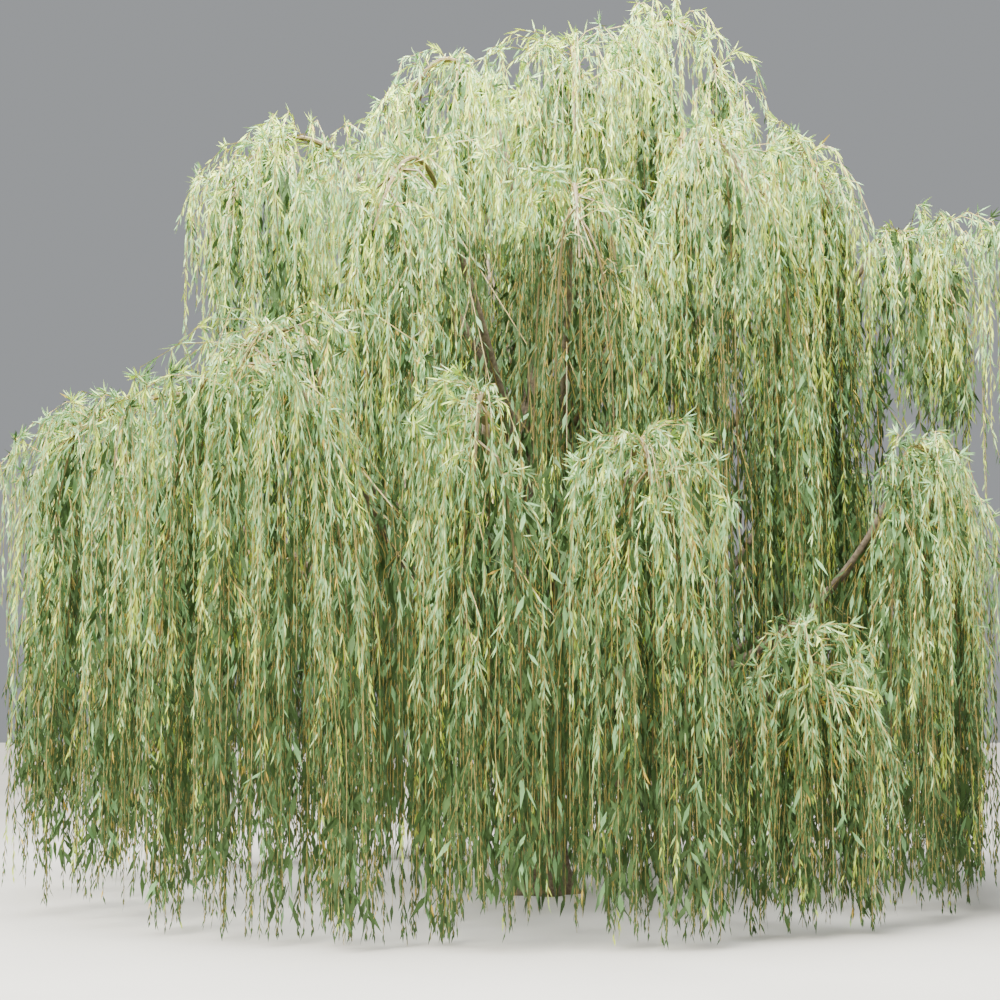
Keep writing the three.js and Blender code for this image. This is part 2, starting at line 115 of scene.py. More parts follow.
MASSES = masses_of(CROWN, [
    ("peak", (-46, 26), (7.60, 4.20), 5, dict(outer=1.75)),
    ("top_back_right", (26, 92), (7.15, 4.30), 5, {}),
    ("top_back_left", (92, 156), (7.20, 4.30), 4, on("left_limb", 4.30)),
    ("top_left", (156, 226), (7.26, 4.45), 5, dict(outer=1.84, foot=0.65)),
    ("top_front", (226, 314), (7.13, 4.10), 5, on("leader", 4.50)),
]) + masses_of(SHOULDER, [
    ("right_shoulder", (-44, -5), (6.35, 2.20), 5, on("leader", 3.50, outer=2.74)),
    ("right_back_shoulder", (-5, 42), (6.15, 2.60), 4, on("back_limb", 3.30, outer=2.74)),
    ("back_shoulder", (42, 88), (5.85, 2.70), 5, on("back_limb", 3.75)),
    ("back_left_shoulder", (88, 132), (6.15, 2.60), 5, on("back_limb", 2.95)),
    ("left_back_shoulder", (132, 178), (5.90, 2.90), 5, on("left_limb", 3.30)),
    ("left_shoulder", (178, 220), (6.40, 4.50), 5, on("left_limb", 3.75, outer=3.28)),
    ("front_left_shoulder", (220, 258), (5.90, 2.70), 5, on("left_limb", 2.95)),
    ("front_shoulder", (258, 286), (5.60, 2.50), 5, on("leader", 3.05)),
    ("front_right_curtain", (286, 316), (6.05, 0.70), 4, on("leader", 3.90)),
]) + masses_of(SKIRT, [
    ("right_arch", (-28, 20), (5.68, 4.00), 6, on("leader", 2.65, inner=2.98, outer=3.98)),
    ("right_back_skirt", (-13, 22), (3.75, 0.20), 5, on("trunk", 1.80, outer=3.96)),
    ("back_right_skirt", (22, 58), (4.05, 0.20), 5, on("trunk", 1.45)),
    ("back_skirt", (58, 94), (4.25, 0.18), 5, on("trunk", 1.85)),
    ("back_left_skirt", (94, 130), (4.15, 0.20), 5, on("trunk", 1.50)),
    ("left_back_skirt", (130, 165), (3.95, 0.30), 5, on("trunk", 1.80, outer=4.4)),
    ("left_skirt", (165, 192), (4.15, 0.60), 5, on("trunk", 1.50, outer=4.5)),
    ("left_front_skirt", (192, 222), (4.10, 0.33), 7, on("trunk", 1.85, inner=2.3, outer=4.48)),
    ("front_left_skirt", (222, 256), (4.28, 0.12), 7, on("trunk", 1.45, outer=4.4)),
    ("front_skirt", (256, 272), (3.76, 0.11), 4, on("trunk", 1.80)),
    ("front_right_skirt", (272, 291), (3.45, 0.11), 5, on("trunk", 1.50)),
    ("low_right_skirt", (291, 313), (2.18, 0.12), 5, on("trunk", 1.25, outer=4.0)),
    ("right_skirt", (313, 347), (3.65, 0.16), 6, on("trunk", 1.50, outer=3.98)),
])
print(len(MASSES), "masses of foliage with", sum(mass.locks for mass in MASSES), "locks")

# %% Locks
LOCK_CLEARANCE = 0.225  # from a lock's fall line to the edge of its mass's space
LOCK_STAGGER, SECTOR_FILL, OUTWARD, GOLDEN = 0.4, 1.25, 0.6, 0.618034  # how locks share a sector
RAGGED = 0.36  # how much their lower ends differ
LEAVES_BEFORE, LEAVES_FIRST, LEAVES_LAST, LEAVES_STAGGER = 0.3, 0.06, 0.85, 0.08  # along the stem
LOCK_ARCH, LOCK_LIFT, LOCK_SHOULDER = 0.42, 0.09, 0.12  # how a lock arches over before it hangs
LOCK_RADIUS, LOCK_ROOT_RADIUS = 0.205, 0.009
LOCK_FULL, LOCK_SWELL, LOCK_CLOSES, LOCK_CLOSE_POWER = 0.28, 0.7, 0.5, 4
LOCK_TRIES, LOCK_RETREAT = 26, 0.06  # attempts, and how much higher a lock ends with each
ROOT_SHARE, BELOW_HEM = 0.2, 0.2  # how much of a lock may leave its space, at the root and hem
SPACE_MARGIN, LIMB_MARGIN = 0.012, 0.015
LIMB_TEST_STEP, FOLIAGE_TEST_STEP = 0.04, 0.06
print("locks are up to", 2 * LOCK_RADIUS, "m thick")

# %% [markdown]
# ## Curves
# A bough or a shoot is a curve first and a tube second. Blender has curve objects for that, but
# hundreds of thousands of leaves have to find their place along thousands of shoots, and that is
# quickest with plain arrays. So a curve here is a rule that turns a number from 0 to 1 into a
# point, with a table of lengths so that points can be spaced evenly along it.

# %% A repeatable chance, and points on a circle
NO_LENGTH = 1e-12  # what a length of 0 counts as, so that it can be divided by


def chance(piece, draw):
    """A repeatable number from 0 to 1, the same one that the CAD source draws."""
    s = np.sin(piece * 127.1 + draw * 311.7) * 43758.5453
    return s - np.floor(s)


def polar(centre, azimuth, radius, height):
    """Points at azimuths, radii and heights about a centre."""
    a = np.radians(azimuth)
    x, y = centre[0] + radius * np.cos(a), centre[1] + radius * np.sin(a)
    return np.stack(np.broadcast_arrays(x, y, height), axis=-1).astype(float)


def unit(vectors):
    """The same directions, one metre long."""
    return vectors / np.maximum(np.linalg.norm(vectors, axis=-1, keepdims=True), NO_LENGTH)

# %% Curves
LENGTH_STEPS = 200
SMALL_STEP = 1e-4  # along a curve, to find which way it runs


class Path:
    """A curve, given as a rule from a number between 0 and 1 to a point."""

    def __init__(self, rule):
        self.rule = rule
        self.steps = np.linspace(0, 1, LENGTH_STEPS + 1)
        pieces = np.linalg.norm(np.diff(rule(self.steps), axis=0), axis=1)
        self.length = pieces.sum()
        self.shares = np.concatenate([[0], np.cumsum(pieces)]) / self.length

    def at(self, share):
        """The point at a share of the curve's length."""
        return self.rule(np.interp(share, self.shares, self.steps))

    def along(self, share):
        """The direction there."""
        t = np.interp(share, self.shares, self.steps)
        return unit(self.rule(np.minimum(t + SMALL_STEP, 1)) - self.rule(np.maximum(t - SMALL_STEP, 0)))


def bezier(*points):
    """A curve through the first and last point, pulled towards the ones between."""
    points = np.array(points, dtype=float)
    order = len(points) - 1

    def rule(t):
        t = np.asarray(t, dtype=float)[..., None]
        return sum(math.comb(order, k) * (1 - t) ** (order - k) * t ** k * points[k]
                   for k in range(order + 1))
    return Path(rule)

# %% [markdown]
# ## The stem of a mass
# Each bough carries on into an arching stem: up to a crest, over, and down to a drooping end. In
# side view that is close to a parabola, so that is what it is here. It tops out at the height that
# the table gives, and its tier says how far it rises and droops.

# %% Arching stems
def grow_stem(mass):
    """Give a mass its stem, and the rules that say how high it is and where a lock hangs on it."""
    up, down = math.sqrt(mass.rise), math.sqrt(mass.droop)
    foot, end = mass.inner + mass.foot, mass.outer - LOCK_CLEARANCE

    def height(share):
        return mass.crest - ((up + down) * np.asarray(share) - up) ** 2

    def rule(share):
        return polar(mass.centre, mass.middle, foot + (end - foot) * np.asarray(share), height(share))

    mass.height_at = height
    mass.share_at = lambda radius: (radius - foot) / (end - foot)
    mass.stem = Path(rule)
    mass.foot_point = rule(0.0)
    mass.foot_way = unit(rule(SMALL_STEP) - rule(0.0))


for mass in MASSES:
    grow_stem(mass)
print("stems of", round(sum(mass.stem.length for mass in MASSES), 1), "m in all")

# %% [markdown]
# ## Trunk, limbs and boughs as curves
# The trunk leans a little and forks into three limbs. Each limb runs on to the foot of a crown
# mass, and the boughs leave the trunk or a limb at the height in the table. Every one of them ends
# in the direction that its stem sets out in, so wood runs on into stem without a kink.

# %% Thickness of the wood
HEIGHT_STEPS = 4000


def taper(base, tip):
    return lambda share, angle=0.0: base + (tip - base) * np.asarray(share)


def trunk_radius(share, angle=0.0):
    flare = np.exp(-share * TRUNK_HEIGHT / FLARE_HEIGHT)
    lobes = 1 + FLARE_LOBE_DEPTH * np.cos(FLARE_LOBES * angle + FLARE_LOBE_TURN)
    head = 1 - HEAD_CLOSE * np.maximum(0, (share - HEAD_FROM) / (1 - HEAD_FROM)) ** 2
    return (TRUNK_RADIUS * (1 + TRUNK_SWELL * share) + FLARE * flare * lobes) * head


def point_at_height(path, height):
    """The point of a rising curve at a height."""
    points = path.rule(np.linspace(0, 1, HEIGHT_STEPS + 1))
    return points[np.argmax(points[:, 2] >= height)]

# %% Limb and bough curves
head_x, head_y = TRUNK_HEAD
trunk_path = bezier((0, 0, 0), (0, 0, TRUNK_HEIGHT * 0.4),
                    (head_x * 0.4, head_y * 0.3, TRUNK_HEIGHT * 0.7), (head_x, head_y, TRUNK_HEIGHT))
WOOD = {"trunk": (trunk_path, trunk_radius)}
by_name = {mass.name: mass for mass in MASSES}
for limb, ends_in in LIMBS.items():
    mass = by_name[ends_in]
    foot, way = mass.foot_point, mass.foot_way
    path = bezier(polar(TRUNK_HEAD, mass.middle, FORK_OFFSET, TRUNK_HEIGHT - FORK_DEPTH),
                  polar(TRUNK_HEAD, mass.middle, FORK_REACH, TRUNK_HEIGHT + FORK_RISE),
                  foot - LIMB_EASE * way, foot - JOIN_GAP * way)
    WOOD[limb] = (path, taper(LIMB_RADIUS, LIMB_TIP_RADIUS))
    mass.carrier = limb
for mass in MASSES:
    if not mass.limb:
        continue
    start = point_at_height(WOOD[mass.limb][0], mass.height)
    end = mass.foot_point - JOIN_GAP * mass.foot_way
    reach = np.linalg.norm(end - start) * BOUGH_EASE
    mass.carrier = "bough_" + mass.name
    WOOD[mass.carrier] = (bezier(start, end - reach * mass.foot_way, end),
                             taper(BOUGH_RADIUS, BOUGH_TIP_RADIUS))
print(len(WOOD), "trunk, limbs and boughs,",
      round(sum(path.length for path, _ in WOOD.values())), "m of wood")

# %% [markdown]
# ## Where the locks hang
# Foliage that falls from one stem parts into locks, as long hair does. The CAD solids are these
# locks. Each one leaves the stem, arches over to its own fall line and hangs down to the hem. The
# same tests as in the source keep a lock in its mass's space and clear of every limb.

# %% Tests for a lock's place
def lock_swell(share):
    """How full a lock is along its length, from 0 to 1."""
    return np.sin(math.pi / 2 * np.minimum(1, share / LOCK_FULL)) ** LOCK_SWELL


def lock_radius(share):
    closing = np.maximum(0, (share - LOCK_CLOSES) / (1 - LOCK_CLOSES))
    swollen = (LOCK_RADIUS - LOCK_ROOT_RADIUS) * lock_swell(share)
    return LOCK_ROOT_RADIUS + swollen * (1 - closing ** LOCK_CLOSE_POWER)


def balls_along(path, radius_at, spacing):
    """Centres and radii of the balls that stand for a limb or a lock in the tests."""
    steps = math.ceil(path.length / spacing)
    share = np.arange(steps + 1) / steps
    return path.at(share), radius_at(share)


limb_balls = [balls_along(path, radius_at, LIMB_TEST_STEP) for path, radius_at in WOOD.values()]
limb_centres, limb_radii = (np.concatenate(each) for each in zip(*limb_balls))


def clear_of_limbs(centres, radii):
    apart = np.linalg.norm(centres[:, None] - limb_centres[None], axis=2)
    return bool((apart > radii[:, None] + limb_radii[None] + LIMB_MARGIN).all())


def inside_space(mass, centres, radii):
    x, y = centres[:, 0] - mass.centre[0], centres[:, 1] - mass.centre[1]
    out = np.hypot(x, y)
    off = (np.degrees(np.arctan2(y, x)) - mass.middle + 180) % 360 - 180
    room = radii + SPACE_MARGIN
    inside = (out * np.sin(np.radians(mass.half - np.abs(off))) > room) & (out < mass.outer - room)
    if mass.inner > 0:
        inside &= out > mass.inner + room
    return bool((inside & (centres[:, 2] > mass.hem - BELOW_HEM * RAGGED)).all())

# %% Place every lock
def stem_root(mass, share):
    """A place on the straight run between two rings of the CAD stem, where a lock is rooted."""
    ring = min(STEM_PIECES - 1, math.floor(share * STEM_PIECES))
    start, end = mass.stem.at(ring / STEM_PIECES), mass.stem.at((ring + 1) / STEM_PIECES)
    return start + (end - start) * (share * STEM_PIECES - ring)


def lock_path(mass, number, i, attempt):
    """The curve that the CAD source tries for a lock on this attempt."""
    across = (i + 0.5 + LOCK_STAGGER * (chance(number, i + 40) - 0.5)) / mass.locks
    out = (0.5 + (i + 1 + attempt * mass.locks) * GOLDEN) % 1
    inner, outer = mass.inner + LOCK_CLEARANCE, mass.outer - LOCK_CLEARANCE
    radius = inner + (outer - inner) * out ** OUTWARD
    edge = math.degrees(math.asin(min(1, LOCK_CLEARANCE / radius)))
    offset = max(0, mass.half - edge) * np.clip(SECTOR_FILL * (2 * across - 1), -1, 1)
    top_share = np.clip(mass.share_at(radius), 0, 1)
    top = mass.height_at(top_share) - LOCK_SHOULDER * radius * abs(math.radians(offset))
    hem = mass.hem + RAGGED * chance(number, i) + LOCK_RETREAT * attempt
    lift = top + LOCK_LIFT * (top - hem)
    leaves = np.clip(top_share - LEAVES_BEFORE, LEAVES_FIRST, LEAVES_LAST)
    start = stem_root(mass, leaves + LEAVES_STAGGER * chance(number, i + 20))
    azimuth = mass.middle + offset
    over = polar(mass.centre, azimuth, radius, lift)
    first = start + (over - start) * LOCK_ARCH
    first[2] = lift
    return bezier(start, first, over, polar(mass.centre, azimuth, radius, hem))


def place_lock(mass, number, i):
    """The first attempt that keeps to its space and clear of the wood, if there is one."""
    for attempt in range(LOCK_TRIES):
        path = lock_path(mass, number, i, attempt)
        centres, radii = balls_along(path, lock_radius, FOLIAGE_TEST_STEP)
        skip = math.ceil(len(centres) * ROOT_SHARE)
        if clear_of_limbs(centres, radii) and inside_space(mass, centres[skip:], radii[skip:]):
            return [path]
    return []


for number, mass in enumerate(MASSES):
    mass.lock_paths = sum((place_lock(mass, number, i) for i in range(mass.locks)), [])
print(sum(len(mass.lock_paths) for mass in MASSES), "locks placed")

# %% [markdown]
# ## From locks to strands and shoots
# A lock of the real tree parts again, into ropes of three to five shoots that hang together, with
# dark gaps between them. Those ropes are what the eye reads as weeping. So each lock here gets a
# few strands, spread over its section by the golden angle, and each strand a few shoots that keep
# close to it. A shoot is only a line of a few points at this stage. All lines that have the same
# number of points are kept in one array, so that numpy can grow them together.

# %% How full a lock is
STRANDS_PER_METRE = 1.4  # strands in a lock, for each metre of its length
FEWEST_STRANDS = 4
SHOOTS_IN_STRAND = 3
STRAND_RADIUS = 0.036
LOCK_SPREAD = 0.225
USUAL_ROOM = 0.4  # metres of a mass's width for each of its locks
FULLNESS = (0.85, 1.3)  # of the locks in the narrowest and in the widest masses, 1 being usual
for mass in MASSES:
    mass.width = 2 * mass.outer * math.sin(math.radians(mass.half))
    mass.fullness = float(np.clip(mass.width / mass.locks / USUAL_ROOM, *FULLNESS))
widths = [mass.width for mass in MASSES]
print("masses are", round(min(widths), 2), "to", round(max(widths), 2), "m wide")

# %% Strands of a lock
HANGS = {"crown": (1.05, 0.28), "shoulder": (1.05, 0.28), "skirt": (1.1, 0.15)}  # longest, raggedness
STRAND_LEAVES, STRAND_LEAVES_POWER = 0.45, 1.4  # by this share of the lock, and most of them early
STRAND_STRAYS = 0.5  # how much less a late strand follows the lock's arch
ROOT_SCATTER, STRAND_SCATTER, TIP_SCATTER = (-0.04, 0.06), 0.05, 0.12  # as shares of the lock
POINTS_POWER = 1.2  # more than 1 puts a shoot's points closer together near its root
OPENS_WITHIN, OPENS_POWER = 0.1, 0.7  # how soon a shoot spreads to its own place in the lock
WAVES, WAVE_SIZE = (5, 11), 0.02  # how a shoot sways: radians along the lock, and metres
SHOOT_POINTS = 6
GOLDEN_ANGLE = math.radians(137.508)
ANY_TURN = 6.28  # radians, for a turn that is left to chance
TREE_LOW = 0.035  # nothing hangs lower than this above the ground
LONG_FALL = 4.0  # metres that the longest shoots hang down
rng = np.random.default_rng(13)


def strands_of(path, hang, fullness):
    """Lines of the shoots in one lock, and how near its outside each one hangs, from 0 to 1."""
    strands = max(FEWEST_STRANDS, round(STRANDS_PER_METRE * path.length * fullness))
    count = strands * SHOOTS_IN_STRAND
    strand = np.arange(count) // SHOOTS_IN_STRAND
    depth = np.sqrt((np.arange(strands) + 0.5) / strands)
    turn = np.arange(strands) * GOLDEN_ANGLE + rng.uniform(0, ANY_TURN)
    leaves = STRAND_LEAVES * rng.random(strands) ** STRAND_LEAVES_POWER
    follows = 1 - STRAND_STRAYS * rng.random(strands) * leaves / STRAND_LEAVES
    longest, ragged = hang
    ends = longest - rng.random(strands) * (STRAND_SCATTER + ragged * depth ** 2)
    start = np.clip(leaves[strand] + rng.uniform(*ROOT_SCATTER, count), 0, 1)
    end = ends[strand] - TIP_SCATTER * rng.random(count) ** 2
    share = start[:, None] + (end - start)[:, None] * np.linspace(0, 1, SHOOT_POINTS) ** POINTS_POWER
    opened = np.clip((share - start[:, None]) / OPENS_WITHIN, 0, 1) ** OPENS_POWER
    wave = np.sin(share * rng.uniform(*WAVES, (count, 1)) + rng.uniform(0, ANY_TURN, (count, 1)))
    offset = np.stack([np.cos(turn), np.sin(turn)], axis=1)[strand] * (LOCK_SPREAD * depth)[strand, None]
    offset += rng.normal(0, STRAND_RADIUS, (count, 2))
    lines = path.at(np.minimum(share, 1))
    root = lines[:, :1, :2].copy()
    lines[..., :2] = root + (lines[..., :2] - root) * follows[strand, None, None]
    lines[..., 2] -= np.maximum(0, share - 1) * path.length
    lines[..., :2] += offset[:, None] * (lock_swell(np.minimum(share, 1)) * opened)[..., None]
    lines[..., 0] += WAVE_SIZE * wave * opened
    return lines, depth[strand]

# %% Places along lines
def any_way(count):
    """Level directions, left to chance."""
    return polar((0, 0), rng.uniform(0, 360, count), 1.0, 0.0)


LAST_PLACE = 0.9999  # share of a line, just short of its last point


def place_on(lines, owner, share):
    """The point and the direction at a share of each owner's line."""
    place = np.minimum(share, LAST_PLACE) * (lines.shape[1] - 1)
    low = place.astype(int)
    part = (place - low)[:, None]
    start, end = lines[owner, low], lines[owner, low + 1]
    return start * (1 - part) + end * part, unit(end - start)


def lengths_of(lines):
    """The length of each line."""
    return np.linalg.norm(np.diff(lines, axis=1), axis=2).sum(axis=1)

# %% Shoots that arch over and hang
def hanging(root, away, reach, fall, lift, *, out, out_power, arch, fall_from, fall_power,
            points=SHOOT_POINTS, points_power=1.0):
    """Lines that are all the way out after 1/out of their length, and arched over after 1/arch."""
    t = np.linspace(0, 1, points) ** points_power
    outward = reach * np.minimum(1, out * t) ** out_power
    lines = root[:, None] + away[:, None] * outward[..., None]
    lines[..., 2] += (lift * np.sin(np.pi * np.minimum(1, arch * t))
                      - fall * np.maximum(0, t - fall_from) ** fall_power)
    return lines


LOOSE_SHAPE = dict(out=1.9, out_power=0.85, arch=2.0, fall_from=0.2, fall_power=1.2, points_power=1.3)


def loose_shoots(root, azimuth, *sizes):
    """Shoots that spring from a stem or an arching twig and feather a crest."""
    reach, fall, lift = (rng.uniform(*size, (len(root), 1)) for size in sizes)
    return hanging(root, polar((0, 0), azimuth, 1.0, 0.0), reach, fall, lift, **LOOSE_SHAPE)

# %% Side branches and companions
CREST_SHOOTS = 2  # on the stem, for each of its locks
ARCH_SHOOTS = 5  # on the arching start of each lock
RUNNERS = 4  # long ones on each stem
COMPANIONS = 6  # that run along each stem and hide it
SIDE_BRANCHES = 2  # arching sideways from the stem, for each of its locks
BRANCH_SHOOTS = 4  # hanging from each side branch
BRANCH_REACH, BRANCH_REACH_MORE = 0.35, 0.1  # share of the mass's width, and metres more
BRANCH_SCATTER = (0.5, 1.1)  # of that reach
BRANCH_SIZES = ((0.25, 0.6), (0.08, 0.2))  # fall and lift, in metres
BRANCH_TURN = (50, 105)  # degrees from the stem
COMPANION_START, COMPANION_END, COMPANION_SCATTER = (0.0, 0.6), (1.1, 1.4), 0.03


def side_branches(mass):
    """Thin branches that arch to both sides of a stem, so that a crest is broad and not a cone."""
    count = round(SIDE_BRANCHES * mass.locks * mass.fullness)
    reach = [each * (mass.width * BRANCH_REACH + BRANCH_REACH_MORE) for each in BRANCH_SCATTER]
    root = mass.stem.at(rng.uniform(0.1, 0.95, count))
    turn = rng.choice([-1, 1], count) * rng.uniform(*BRANCH_TURN, count)
    return loose_shoots(root, mass.middle + turn, reach, *BRANCH_SIZES)


def companions(mass):
    """Shoots that keep close to a stem and hang on from its end."""
    stem = mass.stem
    start = rng.uniform(*COMPANION_START, (COMPANIONS, 1))
    span = rng.uniform(*COMPANION_END, (COMPANIONS, 1)) - start
    share = start + span * np.linspace(0, 1, SHOOT_POINTS)
    lines = stem.at(np.minimum(share, 1)) + rng.normal(0, COMPANION_SCATTER, (COMPANIONS, 1, 3))
    lines[..., 2] -= np.maximum(0, share - 1) * stem.length
    return lines

# %% All the loose shoots of a mass
# How far out each kind goes, how far it hangs down and how far it first rises, in metres.
LOOSE_SIZES = {
    "branch": ((0.04, 0.16), (0.6, 1.9), (0.01, 0.05)),
    "long_branch": ((0.04, 0.16), (0.6, 3.4), (0.01, 0.05)),
    "crest": ((0.2, 0.6), (0.6, 1.8), (0.03, 0.15)),
    "runner": ((0.3, 0.55), (1.0, 2.0), (0.1, 0.22)),
    "arch": ((0.1, 0.35), (0.5, 1.4), (0.02, 0.1)),
}


def feather(mass):
    """Side branches with their shoots, companions, crest shoots, runners and arch shoots."""
    branches = side_branches(mass)
    owner = np.repeat(np.arange(len(branches)), BRANCH_SHOOTS)
    root, _ = place_on(branches, owner, rng.uniform(0.2, 1.0, len(owner)))
    kind = "long_branch" if mass.tier == "skirt" else "branch"
    made = [branches, companions(mass),
            loose_shoots(root, rng.uniform(0, 360, len(owner)), *LOOSE_SIZES[kind])]
    count = CREST_SHOOTS * mass.locks
    side = rng.choice([-1, 1], count) * rng.uniform(10, 115, count)
    made += [loose_shoots(mass.stem.at(rng.uniform(0.02, 1.0, count)), mass.middle + side,
                          *LOOSE_SIZES["crest"]),
             loose_shoots(mass.stem.at(rng.uniform(0.3, 1.0, RUNNERS)),
                          mass.middle + rng.uniform(-50, 50, RUNNERS), *LOOSE_SIZES["runner"])]
    for path in mass.lock_paths:
        root = path.at(rng.uniform(0.03, 0.4, ARCH_SHOOTS))
        made.append(loose_shoots(root, rng.uniform(0, 360, ARCH_SHOOTS), *LOOSE_SIZES["arch"]))
    return np.concatenate(made)

# %% Shoots that hang inside the tree
INNER_SHOOTS_PER_METRE = {"crown": 9, "shoulder": 10, "skirt": 21}
INNER_FROM, INNER_SHARE = 0.3, 0.7  # they hang from the outer 0.7 of each bough
INNER_REACH, INNER_FALL, INNER_LIFT = (0.1, 0.9), (0.6, 1.0), 0.1  # fall as a share of the height
INNER_SHAPE = dict(out=2.5, out_power=0.8, arch=2.5, fall_from=0, fall_power=1.15, points=4)


def inner_shoots(path, tier):
    """Shoots that hang from a bough inside the tree; the broad leaves on them are painted dark green as
    shade.
    """
    count = round(INNER_SHOOTS_PER_METRE[tier] * path.length * INNER_SHARE)
    root = path.at(rng.uniform(INNER_FROM, 1.0, count))
    away = any_way(count)
    fall = np.minimum(LONG_FALL, rng.uniform(*INNER_FALL, count) * (root[:, 2] - TREE_LOW))[:, None]
    reach = rng.uniform(*INNER_REACH, (count, 1))
    return hanging(root, away, reach, fall, INNER_LIFT, **INNER_SHAPE)

# %% Side twigs
TWIG_POINTS = 3
TWIG_SPACING = 2.4  # metres of shoot for each twig
TWIG_LENGTH = (0.22, 0.5)
TWIG_SLANT = 0.5  # how far a twig turns out from its shoot
TWIG_OUT, TWIG_DROOP = 0.6, 0.45  # shares of its length
TWIG_DROOP_POWER = 1.5  # more than 1 makes it droop late


def side_twigs(lines):
    """Twigs that leave the shoots at a narrow angle and droop."""
    count = np.maximum(1, np.round(lengths_of(lines) / TWIG_SPACING).astype(int))
    owner = np.repeat(np.arange(len(lines)), count)
    root, way = place_on(lines, owner, rng.uniform(0.2, 0.92, len(owner)))
    away = any_way(len(owner))
    size = rng.uniform(*TWIG_LENGTH, len(owner))[:, None, None]
    t = np.linspace(0, 1, TWIG_POINTS)[None, :, None]
    twigs = root[:, None] + unit(way + TWIG_SLANT * away)[:, None] * t * size * TWIG_OUT
    twigs[..., 2] -= (size * TWIG_DROOP * t ** TWIG_DROOP_POWER)[..., 0]
    return twigs, owner

# %% Windows in the curtains
# In two places at the front the curtains part and show the inside of the tree, whose leaves there are
# painted dark as shade.
WINDOWS = [((256, 281), (3.5, 5.2)), ((299, 310), (2.2, 4.7))]  # azimuths and heights
WINDOW_THINNING = 0.7
SHADED_RADIUS, SHADED_HEIGHT = 2.1, 5.0  # the inside, where other curtains hang in front and the leaves get painted shade


def in_window(points):
    """Whether each point stands in one of the windows."""
    azimuth = np.degrees(np.arctan2(points[:, 1], points[:, 0])) % 360
    inside = np.zeros(len(points), dtype=bool)
    for (start, end), (low, high) in WINDOWS:
        inside |= (azimuth > start) & (azimuth < end) & (points[:, 2] > low) & (points[:, 2] < high)
    return inside


def thinned(lines, depth):
    """Most of the shoots whose middle hangs in a window are left off."""
    middle = lines[:, lines.shape[1] // 2]
    keep = ~(in_window(middle) & (rng.random(len(lines)) < WINDOW_THINNING))
    return lines[keep], depth[keep]

# %% Keep to the reach of the solids
REACH = 0.04  # how far leaves may stand out of the CAD box
GROUND_CLEARANCE = 0.004
LOW_SCATTER = 0.06  # how much the lowest points differ in height
box_low = np.array(cad_bounds[0]) - REACH
box_high = np.array(cad_bounds[1]) + REACH
box_low[2] = GROUND_CLEARANCE


def within_reach(points):
    """Whether all points of each line or leaf are in the box that the tree may fill."""
    return ((points > box_low) & (points < box_high)).all(axis=(1, 2))

# %% Grow every mass
for mass in MASSES:
    grown = [strands_of(path, HANGS[mass.tier], mass.fullness) for path in mass.lock_paths]
    loose = feather(mass)
    shoots = np.concatenate([lines for lines, _ in grown] + [loose])
    depth = np.concatenate([depth for _, depth in grown] + [np.ones(len(loose))])
    lowest = TREE_LOW + LOW_SCATTER * rng.random((len(shoots), 1))
    shoots[..., 2] = np.maximum(shoots[..., 2], lowest)
    keep = within_reach(shoots)
    shoots, depth = shoots[keep], depth[keep]
    if mass.tier == "shoulder":
        shoots, depth = thinned(shoots, depth)
    twigs, owner = side_twigs(shoots)
    keep = within_reach(twigs)
    shaded = inner_shoots(WOOD[mass.carrier][0], mass.tier)
    mass.shoots, mass.depth = shoots, depth
    mass.twigs, mass.twig_depth = twigs[keep], depth[owner[keep]]
    mass.shaded = shaded[within_reach(shaded)]
for kind in ("shoots", "twigs", "shaded"):
    grown = [getattr(mass, kind) for mass in MASSES]
    metres = sum(lengths_of(lines).sum() for lines in grown)
    print(kind, sum(len(lines) for lines in grown), "lines,", round(metres), "m")

# %% [markdown]
# ## Leaves
# A leaf of this willow is a narrow lance, 8 to 12 cm long and about 1.2 cm wide, green above and
# silvery below. Cards with a picture of leaves would be lighter, but they look flat from the side
# and need an image. Here each leaf is a little mesh in its own outline: four faces for some of the
# outer ones and two, bent across the middle, for the rest. These are a little wider than life, so
# that fewer cover the tree. Broad ones, up to twice as long and most of them painted dark green as
# shade, fill the core of each lock and the space under the boughs, where only their darkness counts.
# There are some 400,000 leaves in all.

# %% Leaf outlines and sizes
LANCE = np.array([[0, 0], [0.36, 0.5], [0.36, -0.5], [0.72, 0.34], [0.72, -0.34], [1, 0]])
LANCE_FACES = np.array([[0, 2, 1], [1, 2, 3], [2, 4, 3], [3, 4, 5]])
KITE = np.array([[0, 0], [0.4, 0.5], [0.4, -0.5], [1, 0]])
KITE_FACES = np.array([[0, 2, 1], [1, 2, 3]])
OUTLINES = {"lance": (LANCE, LANCE_FACES), "kite": (KITE, KITE_FACES)}
LEAF_SPACING = 0.0275  # metres of shoot for each leaf
LEAF_LENGTH, LEAF_WIDTH = 0.108, 0.0146
LEAF_ANGLE = 27  # degrees between a leaf and its shoot
LEAF_DROOP = 0.5
LEAF_CURL = (0.05, 0.08)  # mean and scatter, as shares of its length
LANCE_SHARE = 0.06  # of the leaves on the outer shoots
# Broad leaves that carry painted shade.
SHADE_SPACING = 0.095
SHADE_LENGTH, SHADE_WIDTH = 0.19, 0.036
CORE_LEAVES_PER_METRE = 66


def leaf_points(root, heading, outline, length, width):
    """Vertices of leaves, each turned its own way about its heading and curled a little."""
    count = len(root)
    face = unit(np.cross(heading, rng.normal(size=(count, 3))))
    across = np.cross(heading, face)
    curl = rng.normal(*LEAF_CURL, count) * length
    s, w = outline[:, 0][None, :, None], outline[:, 1][None, :, None]
    return (root[:, None] + heading[:, None] * s * length[:, None, None]
            + across[:, None] * w * width[:, None, None] - face[:, None] * curl[:, None, None] * s ** 2)

